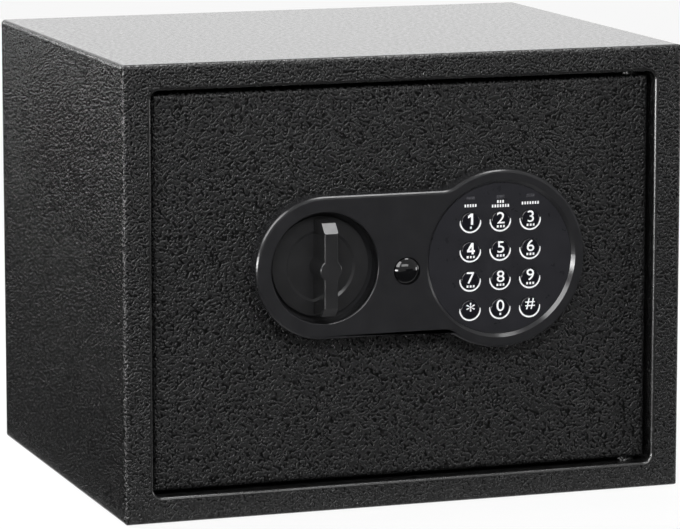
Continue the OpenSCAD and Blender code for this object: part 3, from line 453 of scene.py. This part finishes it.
def glyph_mesh(sign, height):
    """A filled outline of one sign, of that height in metres. The 1 and the 4 have their own outlines."""
    if sign == "1":
        return one_mesh(height)
    if sign == "4":
        return four_mesh(height)
    curve = bpy.data.curves.new("glyph", "FONT")
    curve.body = sign
    curve.offset = DIGIT_BOLD
    curve.resolution_u = 8
    probe = bpy.data.objects.new("glyph", curve)
    bpy.context.scene.collection.objects.link(probe)
    bpy.context.view_layer.update()
    made = bpy.data.meshes.new_from_object(probe.evaluated_get(bpy.context.evaluated_depsgraph_get()))
    bpy.data.objects.remove(probe)
    bpy.data.curves.remove(curve)
    xs = [v.co.x for v in made.vertices]
    ys = [v.co.y for v in made.vertices]
    scale = height / (max(ys) - min(ys))
    middle = Vector(((max(xs) + min(xs)) / 2, (max(ys) + min(ys)) / 2, 0))
    for v in made.vertices:
        v.co = (v.co - middle) * scale
        v.co.x *= DIGIT_STRETCH
    return made


def arc_band():
    """The quads of a round band below a key, drawn thin at its ends."""
    def across(i):
        turn = math.radians(270 - ARC_SWEEP / 2 + ARC_SWEEP * i / ARC_STEPS)
        from_end = min(i, ARC_STEPS - i) / ARC_STEPS
        half = ARC_WIDTH / 2 * min(1.0, ARC_END_SHARE + ARC_TAPER * from_end)
        return [(math.cos(turn) * r, math.sin(turn) * r) for r in (ARC_MID_R - half, ARC_MID_R + half)]

    quads = []
    for i in range(ARC_STEPS):
        near, far = across(i), across(i + 1)
        quads.append([near[0], near[1], far[1], far[0]])
    return quads


def cut_in_steps(bm):
    """Cuts a flat mesh into small squares, so that it can follow a crowned face."""
    for axis in (0, 1):
        reach = max(abs(v.co[axis]) for v in bm.verts)
        normal = Vector((0, 0, 0))
        normal[axis] = 1
        for k in range(-int(reach / PRINT_STEP), int(reach / PRINT_STEP) + 1):
            bmesh.ops.bisect_plane(
                bm, geom=bm.verts[:] + bm.edges[:] + bm.faces[:], plane_co=normal * k * PRINT_STEP,
                plane_no=normal,
            )


def laid(flat, place, face_y):
    """A flat mesh made a thin print round a place on the front, where face_y gives the face's Y."""
    bm = bmesh.new()
    bm.from_mesh(flat)
    bmesh.ops.remove_doubles(bm, verts=bm.verts, dist=SAME_POINT)
    cut_in_steps(bm)
    made = bmesh.ops.extrude_face_region(bm, geom=bm.faces[:])
    tops = {v for v in made["geom"] if isinstance(v, bmesh.types.BMVert)}
    for v in bm.verts:
        x, z = v.co.x, v.co.y
        sink = -PRINT_RISE if v in tops else PRINT_RISE
        v.co = Vector((place.x + x, face_y(x, z) + sink, place.z + z))
    bmesh.ops.recalc_face_normals(bm, faces=bm.faces)
    out = bpy.data.meshes.new("print")
    bm.to_mesh(out)
    bm.free()
    bpy.data.meshes.remove(flat)
    return out


def print_piece(name, flat, place, face_y, body):
    mesh_piece(name, laid(flat, place, face_y), finish["white_print"], body)


def key_face(key, rise):
    """The Y of a key's crowned face, for a place counted from that far above the key's middle."""
    low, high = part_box(key)
    flat_r = (high.x - low.x) / 2 - KEY_FLANGE - KEY_ROUND
    crown_r = (flat_r**2 + KEY_CROWN**2) / (2 * KEY_CROWN)

    def face_y(x, z):
        out = math.hypot(x, z + rise)
        crown = crown_r - math.sqrt(crown_r**2 - min(out, flat_r) ** 2)
        over = min(max(out - flat_r, 0), KEY_ROUND)
        return low.y + crown + KEY_ROUND - math.sqrt(KEY_ROUND**2 - over**2)

    return face_y


def print_on_key(kind, label, flat, rise):
    key = f"key_{label}"
    place = front_of(key) + Vector((0, 0, rise))
    print_piece(f"{kind}_{label}", flat, place, key_face(key, rise), f"button_{label}")


def print_on_panel(kind, label, flat, place):
    panel_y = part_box("keypad_panel")[0].y
    print_piece(f"{kind}_{label}", flat, place, lambda x, z: panel_y, "door")


def print_key(label, sign):
    """A key's sign, the bars under it where letters would be, and the arc round its lower half."""
    height = DIGIT_HEIGHT * SIGN_SHARES.get(sign, 1.0) * MM
    print_on_key("digit", label, glyph_mesh(sign, height), DIGIT_RISE * MM)
    pips = PIP_COUNTS.get(label, PIP_COUNT)
    if pips:
        bars = row_of_bars(pips, PIP_PITCH, 0, PIP_WIDTH, PIP_HEIGHT)
        print_on_key("pips", label, flat_mesh(bars), -PIP_DROP * MM)
    print_on_panel("arc", label, flat_mesh(arc_band()), front_of(f"key_{label}"))


def print_status(label, rows):
    """Plain bars under a status lamp, where a small word would be."""
    low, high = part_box("status_windows")
    middle = Vector((front_of(f"key_{label}").x, 0, (low.z + high.z) / 2 - STATUS_DROP * MM))
    bars = []
    for up, count in rows:
        bars += row_of_bars(count, STATUS_PITCH, up, STATUS_WIDTH, STATUS_HEIGHT)
    print_on_panel("sign", label, flat_mesh(bars), middle)


for label, sign in SIGNS.items():
    print_key(label, sign)
for label, rows in STATUS_ROWS.items():
    print_status(label, rows)


# The case's shell, with the opening's front edge that the thick coat makes fuller

EDGE_ROUND = 0.8 * MM
EDGE_SHOWN = 1.9 * MM
OPENING_CORNER = 5 * MM
# The opening's edge lies this near to the front and to the middle's height, and this far inside the sides
EDGE_BEHIND_FRONT = 1.02 * EDGE_ROUND
OPENING_HALF_HEIGHT = 125 * MM
OPENING_INSET = 10 * MM


def case_shell():
    """A copy of the case's shell, with the opening's round drawn out from its wall and from the front."""
    low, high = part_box("case_wrap")
    middle_z = (low.z + high.z) / 2
    data = node["case_wrap"].data.copy()
    edge = [
        v for v in data.vertices
        if v.co.y < low.y + EDGE_BEHIND_FRONT and abs(v.co.x) < high.x - OPENING_INSET
        and abs(v.co.z - middle_z) < OPENING_HALF_HEIGHT
    ]
    straight_x = max(abs(v.co.x) for v in edge) - EDGE_ROUND - OPENING_CORNER
    straight_z = max(abs(v.co.z - middle_z) for v in edge) - EDGE_ROUND - OPENING_CORNER
    grow = EDGE_SHOWN / EDGE_ROUND
    for v in edge:
        out = Vector((max(abs(v.co.x) - straight_x, 0), max(abs(v.co.z - middle_z) - straight_z, 0)))
        push = out.normalized() * (out.length - OPENING_CORNER) * (grow - 1)
        v.co.x += math.copysign(push.x, v.co.x)
        v.co.z += math.copysign(push.y, v.co.z - middle_z)
        v.co.y = low.y + (v.co.y - low.y) * grow
    data.materials.clear()
    shell = mesh_piece("case_shell", data, finish["case_paint"], "case")
    # the opening's edge faces take the lighter, shinier copy of the coat, which paints a brighter
    # highlight line there
    data.materials.append(finish["lit_edge_paint"])
    on_edge = {v.index for v in edge}
    for face in data.polygons:
        if all(i in on_edge for i in face.vertices):
            face.material_index = 1
    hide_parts("case_wrap")


case_shell()


# The felt mat on the floor: a cut sheet with soft edges, holes over the anchor holes and a slight wave

ANCHOR_X = 100 * MM
MAT_HOLES = [(-ANCHOR_X, 0.0), (ANCHOR_X, 0.0)]
MAT_HOLE_R = 9 * MM
MAT_CELLS_X = 86
MAT_CELLS_Y = 60
# A grid point between the first two distances from a hole moves onto its rim. A face inside the last goes
RIM_FROM = 0.62 * MAT_HOLE_R
RIM_TO = 1.35 * MAT_HOLE_R
RIM_INSIDE = 0.97 * MAT_HOLE_R
# The waves along X and Y, in radians to the metre
BROAD_WAVE = (41, 53)
SLANTED_WAVE = (97, 71)
SLANTED_SHARE = 0.5
WAVE_SHIFT = 1
WAVE_DEPTH = 0.12 * MM
EDGE_DEPTH = 0.5 * MM
EDGE_REACH = 1.2 * MM


def nearest_hole(x, y):
    """How far away the nearest hole's middle is, and its X and Y."""
    return min((math.hypot(x - hx, y - hy), hx, hy) for hx, hy in MAT_HOLES)


def drawn_to_rim(x, y):
    """A point of the mat's grid, set on a hole's rim where it lies near one."""
    away, hx, hy = nearest_hole(x, y)
    if not RIM_FROM <= away < RIM_TO:
        return x, y
    return hx + (x - hx) * MAT_HOLE_R / away, hy + (y - hy) * MAT_HOLE_R / away


def mat_top(bm, low, high):
    """The mat's top, flat, with its holes left open."""
    grid = []
    for j in range(MAT_CELLS_Y + 1):
        row = []
        for i in range(MAT_CELLS_X + 1):
            x = low.x + (high.x - low.x) * i / MAT_CELLS_X
            y = low.y + (high.y - low.y) * j / MAT_CELLS_Y
            row.append(bm.verts.new((*drawn_to_rim(x, y), high.z)))
        grid.append(row)
    for j in range(MAT_CELLS_Y):
        for i in range(MAT_CELLS_X):
            corners = [grid[j][i], grid[j][i + 1], grid[j + 1][i + 1], grid[j + 1][i]]
            middle = sum((c.co for c in corners), Vector()) / 4
            if nearest_hole(middle.x, middle.y)[0] > RIM_INSIDE:
                bm.faces.new(corners)
    bmesh.ops.delete(bm, geom=[v for v in bm.verts if not v.link_faces], context="VERTS")


def sink_at(x, y, low, high):
    """How far the mat's top lies under its full height, in a wave's hollow or at the mat's edge."""
    broad = math.sin(x * BROAD_WAVE[0]) * math.sin(y * BROAD_WAVE[1] + WAVE_SHIFT)
    wave = broad + SLANTED_SHARE * math.sin(x * SLANTED_WAVE[0] + y * SLANTED_WAVE[1])
    from_edge = min(x - low.x, high.x - x, y - low.y, high.y - y)
    return WAVE_DEPTH * (1 - wave) + EDGE_DEPTH * math.exp(-from_edge / EDGE_REACH)


def felt_mat():
    low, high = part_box("floor_mat")
    bm = bmesh.new()
    mat_top(bm, low, high)
    made = bmesh.ops.extrude_face_region(bm, geom=bm.faces[:])
    for v in made["geom"]:
        if isinstance(v, bmesh.types.BMVert):
            v.co.z = low.z
    for v in bm.verts:
        if v.co.z > (low.z + high.z) / 2:
            v.co.z -= sink_at(v.co.x, v.co.y, low, high)
    bmesh.ops.recalc_face_normals(bm, faces=bm.faces)
    data = bpy.data.meshes.new("felt_mat")
    bm.to_mesh(data)
    bm.free()
    for face in data.polygons:
        face.use_smooth = True
    mat = mesh_piece("felt_mat", data, finish["felt"], "case")
    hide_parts("floor_mat")


felt_mat()


# The camera, in front of the safe, to its left and above it: its place in metres and its turn in degrees

CAMERA_PLACE = (-0.8233, -2.397, 0.5362)
CAMERA_YAW = 19.06
CAMERA_PITCH = 9.23
CAMERA_LENS = 218.2
CAMERA_REACH = 30


def camera():
    cam = bpy.data.objects.new("camera", bpy.data.cameras.new("camera"))
    bpy.context.scene.collection.objects.link(cam)
    cam.location = CAMERA_PLACE
    cam.rotation_euler = Euler((math.radians(90 - CAMERA_PITCH), 0, math.radians(-CAMERA_YAW)), "XYZ")
    cam.data.lens = CAMERA_LENS
    cam.data.clip_end = CAMERA_REACH
    bpy.context.scene.camera = cam


camera()


# The white world and floor

WHITE = (1, 1, 1, 1)
WORLD_LIGHT = 0.22
FLOOR_RADIUS = 6.0
FLOOR_DROP = 0.2 * MM
FLOOR_GLOW = 0.86


def seen_rays(tree):
    """1 for a camera, glossy or transmission ray, and 0 for a ray that lights something."""
    path = tree.nodes.new("ShaderNodeLightPath")
    total = path.outputs["Is Camera Ray"]
    for name in ("Is Glossy Ray", "Is Transmission Ray"):
        either = tree.nodes.new("ShaderNodeMath")
        either.operation = "MAXIMUM"
        tree.links.new(total, either.inputs[0])
        tree.links.new(path.outputs[name], either.inputs[1])
        total = either.outputs[0]
    return total


def mixed(tree, factor, first, second, output):
    """Two shaders mixed, as the output's surface."""
    mix = tree.nodes.new("ShaderNodeMixShader")
    tree.links.new(factor, mix.inputs["Fac"])
    tree.links.new(first.outputs[0], mix.inputs[1])
    tree.links.new(second.outputs[0], mix.inputs[2])
    tree.links.new(mix.outputs[0], tree.nodes[output].inputs["Surface"])


def backdrop():
    """A white world to look at, and a softer one to be lit by."""
    world = bpy.data.worlds.new("world")
    bpy.context.scene.world = world
    world.use_nodes = True
    tree = world.node_tree
    shown = tree.nodes["Background"]
    lit = tree.nodes.new("ShaderNodeBackground")
    for light, strength in ((shown, 1.0), (lit, WORLD_LIGHT)):
        light.inputs["Color"].default_value = WHITE
        light.inputs["Strength"].default_value = strength
    mixed(tree, seen_rays(tree), lit, shown, "World Output")


def floor():
    """A white floor that keeps a light shadow."""
    bm = bmesh.new()
    bmesh.ops.create_circle(bm, cap_ends=True, radius=FLOOR_RADIUS, segments=64)
    data = bpy.data.meshes.new("floor")
    bm.to_mesh(data)
    bm.free()
    made = bpy.data.objects.new("floor", data)
    made.location.z = -FLOOR_DROP
    bpy.context.scene.collection.objects.link(made)
    look = Finish("floor", (0.95, 0.95, 0.95), roughness=0.9)
    glow = look.add("ShaderNodeEmission")
    share = look.math("MULTIPLY", seen_rays(look.tree), FLOOR_GLOW)
    mixed(look.tree, share, look.shader, glow, "Material Output")
    data.materials.append(look.material)


backdrop()
floor()


# Soft lamps: each has its place, what it faces, its width and height, and its power

DOOR = (0, -0.13, 0.15)
SILL = (0, -0.13, 0.02)
LEFT_SIDE = (0, -0.1, 0.13)
LEFT_TOP_EDGE = (-0.17, 0, 0.25)
LEFT_REAR = (-0.17, 0, 0.2)
CASE_MIDDLE = (0, 0, 0.1)
CASE_TOP = (0, 0, 0.25)
KEY_PLACE = (-0.19, -1.65, 1.25)
KEY_SIZE = (1.5, 0.5)


def softbox(name, place, faces, size, watts, diffuse=True, glossy=True):
    """A lamp that dull surfaces, reflections or both see."""
    lamp = bpy.data.lights.new(name, "AREA")
    lamp.shape = "RECTANGLE"
    lamp.size, lamp.size_y = size
    lamp.energy = watts
    made = bpy.data.objects.new(name, lamp)
    made.location = place
    made.rotation_euler = (Vector(faces) - Vector(place)).to_track_quat("-Z", "Y").to_euler()
    made.visible_camera = False
    made.visible_diffuse = diffuse
    made.visible_glossy = glossy
    bpy.context.scene.collection.objects.link(made)


def shine(name, place, faces, size, watts):
    """A lamp that only reflections see."""
    softbox(name, place, faces, size, watts, diffuse=False)


def lamps():
    """Light from the front, from above and from behind, and shine on the edges and on the left side."""
    softbox("key_light", KEY_PLACE, DOOR, KEY_SIZE, 27)
    shine("key_shine", KEY_PLACE, DOOR, KEY_SIZE, 20)
    shine("corner_shine", (-1.08, -0.75, 1.2), DOOR, (0.7, 1.1), 40)
    shine("side_shine", (-1.85, -0.75, 0.13), LEFT_SIDE, (1.1, 0.3), 66)
    softbox("rear_side_light", (-0.7, 0.7, 0.62), LEFT_TOP_EDGE, (0.25, 0.25), 16, glossy=False)
    shine("rear_side_shine", (-0.78, 1.35, 0.5), LEFT_REAR, (0.5, 0.3), 6.5)
    shine("sill_shine", (0.55, -0.12, 2.1), SILL, (0.9, 0.5), 28)
    shine("opening_shine", (1.75, -0.5, 0.2), DOOR, (0.3, 0.4), 6)
    softbox("top_light", (0.35, -0.15, 2.2), CASE_MIDDLE, (0.9, 0.5), 14)
    softbox("back_light", (1.05, 2.95, 0.85), CASE_TOP, (3.4, 1.3), 9)


lamps()


# Black cards that only reflections see, so that the safe's sides keep the dark parts of the photograph

CARD_LIFT = 0.2 * MM
LEFT_CARD_X = (-3.0, cad_box[0].x - 0.5 * MM)
LEFT_CARD_Y = (-0.6, 2.0)
REAR_CARD_X = (-3.0, -0.25)
REAR_CARD_HEIGHT = 1.3
FRONT_CARD_X = (-0.6, 2.6)
FRONT_CARD_Y = (-3.2, -0.16)
FAR_CARD_X = (-0.2, 3.4)
FAR_CARD_HEIGHT = 0.7


def dark_card(corners, black):
    data = bpy.data.meshes.new("dark_card")
    data.from_pydata(corners, [], [(0, 1, 2, 3)])
    data.materials.append(black)
    made = bpy.data.objects.new("dark_card", data)
    made.visible_camera = False
    made.visible_diffuse = False
    made.visible_shadow = False
    made.visible_transmission = False
    bpy.context.scene.collection.objects.link(made)


def floor_card(xs, ys, black):
    dark_card([(x, y, CARD_LIFT) for x, y in block(*xs, *ys)], black)


def upright_card(xs, y, height, black):
    dark_card([(x, y, z) for x, z in block(*xs, 0, height)], black)


def cards():
    """A card on the floor and one standing, behind to the left and again in front to the right."""
    black = Finish("card", (0.01, 0.01, 0.01), roughness=1.0, ior=1.0).material
    floor_card(LEFT_CARD_X, LEFT_CARD_Y, black)
    upright_card(REAR_CARD_X, LEFT_CARD_Y[1], REAR_CARD_HEIGHT, black)
    floor_card(FRONT_CARD_X, FRONT_CARD_Y, black)
    upright_card(FAR_CARD_X, FRONT_CARD_Y[0], FAR_CARD_HEIGHT, black)


cards()

bpy.context.scene.view_settings.view_transform = "Standard"
